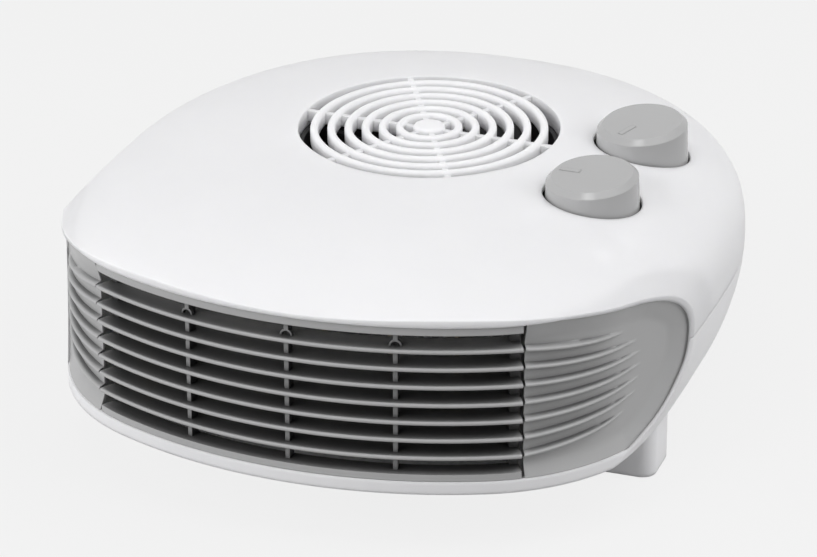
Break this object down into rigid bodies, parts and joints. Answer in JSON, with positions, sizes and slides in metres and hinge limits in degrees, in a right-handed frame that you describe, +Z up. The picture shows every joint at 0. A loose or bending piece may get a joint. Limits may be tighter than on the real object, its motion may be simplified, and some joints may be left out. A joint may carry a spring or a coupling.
{
  "type": "fan heater",
  "caption": "Flat free-standing fan heater: domed plastic case with a round inlet grille on top, curved louvred outlet at the front, ribbed cheeks, two control knobs and short feet.",
  "frame": {"origin": "on the floor, under the middle of the outline seen from above", "axes": "+Z up, -Y the way the warm air blows, +X to the heater's left-hand side as it faces the room, where the knobs are"},
  "size_m": [0.2478, 0.2762, 0.1106],
  "materials": {
    "white_plastic": "smooth semi-gloss moulded",
    "grey_plastic": "satin moulded",
    "black_plastic": "matt moulded",
    "steel": "zinc plated",
    "core_steel": "stacked laminations",
    "copper": "enamelled wire",
    "brass": "plain",
    "mica": "pressed sheet",
    "steatite": "fired ceramic",
    "rubber": "matt"
  },
  "bodies": {
    "heater": {"upper_shell": "white_plastic", "lower_shell": "white_plastic", "front_left_foot": "white_plastic", "front_right_foot": "white_plastic", "rear_left_foot": "white_plastic", "rear_right_foot": "white_plastic", "front_grille": "grey_plastic", "left_wing": "grey_plastic", "right_wing": "grey_plastic", "fan_shroud": "black_plastic", "air_guide": "black_plastic", "thermostat_body": "black_plastic", "selector_switch": "black_plastic", "terminal_block": "black_plastic", "cord_gland": "black_plastic", "control_nuts": "steel", "control_bracket": "steel", "bracket_screws": "steel", "case_screws": "steel", "foot_screws": "steel", "upper_bearing_bracket": "steel", "lower_bearing_bracket": "steel", "motor_mount": "steel", "motor_screws": "steel", "motor_nuts": "steel", "mount_screws": "steel", "shroud_screws": "steel", "element_frame": "steel", "element_screws": "steel", "heating_ribbons": "steel", "thermal_cutout": "steel", "motor_stator": "core_steel", "motor_coil": "copper", "element_busbars": "brass", "motor_bearings": "brass", "thermal_fuse": "brass", "mica_boards": "mica", "busbar_insulators": "steatite", "foot_pads": "rubber"},
    "thermostat_dial": {"thermostat_knob": "grey_plastic", "thermostat_shaft": "steel"},
    "selector_dial": {"selector_knob": "grey_plastic", "selector_shaft": "steel"},
    "fan_rotor": {"fan": "black_plastic", "motor_shaft": "steel", "motor_rotor": "core_steel"}
  },
  "joints": [
    {"name": "thermostat_turn", "type": "hinge", "parent": "heater", "child": "thermostat_dial", "pos_m": [0.0803, 0.0291, 0.1], "axis": [0, 0, 1], "range_deg": [-270, 0]},
    {"name": "selector_turn", "type": "hinge", "parent": "heater", "child": "selector_dial", "pos_m": [0.0764, -0.0235, 0.1], "axis": [0, 0, 1], "range_deg": [-180, 0]},
    {"name": "fan_spin", "type": "hinge", "parent": "heater", "child": "fan_rotor", "pos_m": [0, 0.0156, 0.06], "axis": [0, 0, 1], "continuous": true}
  ]
}
